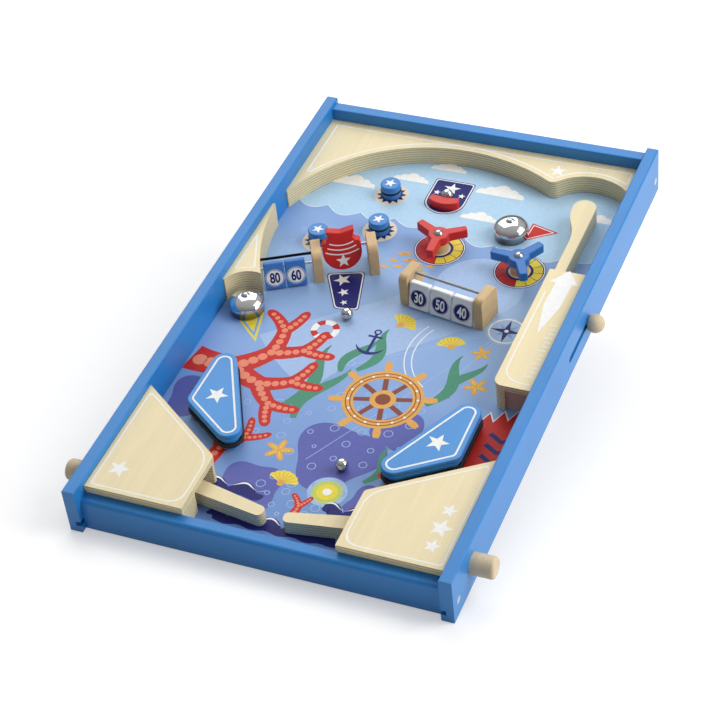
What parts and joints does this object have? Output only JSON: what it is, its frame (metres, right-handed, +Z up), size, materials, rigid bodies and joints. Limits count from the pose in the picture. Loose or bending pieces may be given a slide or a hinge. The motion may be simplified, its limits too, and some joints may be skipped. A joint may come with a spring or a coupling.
{
  "type": "tabletop pinball game",
  "caption": "Sloping wooden tabletop pinball box with push-button flippers, spring launcher, swinging numbered gates, turning spinners, bells and steel balls.",
  "frame": {"origin": "ground level under the middle of the box, buttons included", "axes": "+Z up, +Y uphill from the player's end to the back, +X to the player's right"},
  "size_m": [0.403, 0.5996, 0.1836],
  "materials": {
    "blue_paint": "satin paint",
    "playfield_print": "printed satin",
    "plywood": "clear satin",
    "beech": "clear satin",
    "pine": "raw",
    "dark_wood": "stained",
    "sling_paint": "satin paint",
    "blue_flap": "satin paint",
    "white_flap": "satin paint",
    "red_paint": "satin paint",
    "blue_spinner_paint": "satin paint",
    "peg_paint": "satin paint",
    "black_rubber": "matt",
    "chrome": "polished",
    "steel": "bright",
    "black_steel": "blackened",
    "spring_steel": "drawn wire"
  },
  "bodies": {
    "game": {"left_side_wall": "blue_paint", "right_side_wall": "blue_paint", "front_wall": "blue_paint", "back_wall": "blue_paint", "playfield": "playfield_print", "frame_screws": "steel", "stand_batten": "pine", "rear_legs": "pine", "top_guide": "plywood", "left_guide": "plywood", "lane_rail": "plywood", "launch_cover": "plywood", "launch_spacer": "plywood", "launch_end_block": "dark_wood", "launch_guide_rod": "steel", "launch_spring": "spring_steel", "left_flipper_cover": "plywood", "right_flipper_cover": "plywood", "left_cover_spacers": "plywood", "right_cover_spacers": "plywood", "flipper_pins": "steel", "button_guides": "pine", "left_button_spring": "spring_steel", "right_button_spring": "spring_steel", "sling_cores": "sling_paint", "sling_tops": "sling_paint", "sling_bands": "black_rubber", "blue_gate_posts": "beech", "white_gate_posts": "beech", "stop_rods": "black_steel", "gate_axles": "black_steel", "spinner_hubs": "beech", "spinner_screws": "steel", "bells": "chrome", "bell_posts": "steel", "bell_screws": "steel", "pegs": "peg_paint", "peg_rings": "black_rubber", "ball_cup": "red_paint"},
    "launcher": {"launch_plunger": "beech", "launch_stem": "beech", "launch_knob": "beech"},
    "left_button": {"left_button": "beech", "left_button_pin": "steel"},
    "right_button": {"right_button": "beech", "right_button_pin": "steel"},
    "left_flipper": {"left_flipper": "plywood"},
    "right_flipper": {"right_flipper": "plywood"},
    "flap_80": {"flap_80": "blue_flap"},
    "flap_60": {"flap_60": "blue_flap"},
    "flap_30": {"flap_30": "white_flap"},
    "flap_50": {"flap_50": "white_flap"},
    "flap_40": {"flap_40": "white_flap"},
    "fish_spinner": {"fish_spinner": "red_paint"},
    "red_spinner": {"red_spinner": "red_paint"},
    "blue_spinner": {"blue_spinner": "blue_spinner_paint"},
    "left_ball": {"left_ball": "chrome"},
    "front_ball": {"front_ball": "chrome"},
    "cup_ball": {"cup_ball": "chrome"}
  },
  "joints": [
    {"name": "launch_pull", "type": "slide", "parent": "game", "child": "launcher", "axis": [0, -0.9744, -0.225], "range_m": [0, 0.054], "stiffness_N_per_m": 120, "springref_m": -0.02, "deforming": ["launch_spring"]},
    {"name": "left_button_push", "type": "slide", "parent": "game", "child": "left_button", "axis": [1, 0, 0], "range_m": [0, 0.0075], "stiffness_N_per_m": 250, "springref_m": -0.006, "deforming": ["left_button_spring"]},
    {"name": "right_button_push", "type": "slide", "parent": "game", "child": "right_button", "axis": [-1, 0, 0], "range_m": [0, 0.0075], "stiffness_N_per_m": 250, "springref_m": -0.006, "deforming": ["right_button_spring"]},
    {"name": "left_flipper_swing", "type": "hinge", "parent": "game", "child": "left_flipper", "pos_m": [-0.097, -0.23246, 0.03403], "axis": [0, -0.225, 0.9744], "range_deg": [0, 28]},
    {"name": "right_flipper_swing", "type": "hinge", "parent": "game", "child": "right_flipper", "pos_m": [0.094, -0.23246, 0.03403], "axis": [0, 0.225, -0.9744], "range_deg": [0, 28]},
    {"name": "flap_80_swing", "type": "hinge", "parent": "game", "child": "flap_80", "pos_m": [-0.12961, 0.03772, 0.1118], "axis": [0.8829, 0.4574, 0.1056], "range_deg": [-90, 88]},
    {"name": "flap_60_swing", "type": "hinge", "parent": "game", "child": "flap_60", "pos_m": [-0.11133, 0.04718, 0.11399], "axis": [0.8829, 0.4574, 0.1056], "range_deg": [-90, 88]},
    {"name": "flap_30_swing", "type": "hinge", "parent": "game", "child": "flap_30", "pos_m": [0.01953, 0.04756, 0.11408], "axis": [0.9851, -0.1675, -0.0387], "range_deg": [-90, 106]},
    {"name": "flap_50_swing", "type": "hinge", "parent": "game", "child": "flap_50", "pos_m": [0.04267, 0.04363, 0.11317], "axis": [0.9851, -0.1675, -0.0387], "range_deg": [-90, 106]},
    {"name": "flap_40_swing", "type": "hinge", "parent": "game", "child": "flap_40", "pos_m": [0.06582, 0.03969, 0.11226], "axis": [0.9851, -0.1675, -0.0387], "range_deg": [-90, 106]},
    {"name": "fish_turn", "type": "hinge", "parent": "game", "child": "fish_spinner", "pos_m": [-0.07232, 0.07697, 0.12754], "axis": [0.8829, 0.4574, 0.1056], "continuous": true},
    {"name": "red_spinner_turn", "type": "hinge", "parent": "game", "child": "red_spinner", "pos_m": [0.00521, 0.13298, 0.12692], "axis": [0, -0.225, 0.9744], "continuous": true},
    {"name": "blue_spinner_turn", "type": "hinge", "parent": "game", "child": "blue_spinner", "pos_m": [0.0918, 0.12209, 0.12441], "axis": [0, -0.225, 0.9744], "continuous": true},
    {"name": "left_ball_roll", "type": "slide", "parent": "game", "child": "left_ball", "axis": [0, 0.9744, 0.225], "range_m": [0, 0.04]},
    {"name": "front_ball_roll", "type": "slide", "parent": "game", "child": "front_ball", "axis": [0, 0.9744, 0.225], "range_m": [0, 0.15]},
    {"name": "cup_ball_roll", "type": "slide", "parent": "game", "child": "cup_ball", "axis": [0, 0.9744, 0.225], "range_m": [0, 0.04]}
  ],
  "couplings": [
    {"joint": "left_flipper_swing", "follows": "left_button_push", "rad_per_m": 65.152},
    {"joint": "right_flipper_swing", "follows": "right_button_push", "rad_per_m": 65.152}
  ]
}
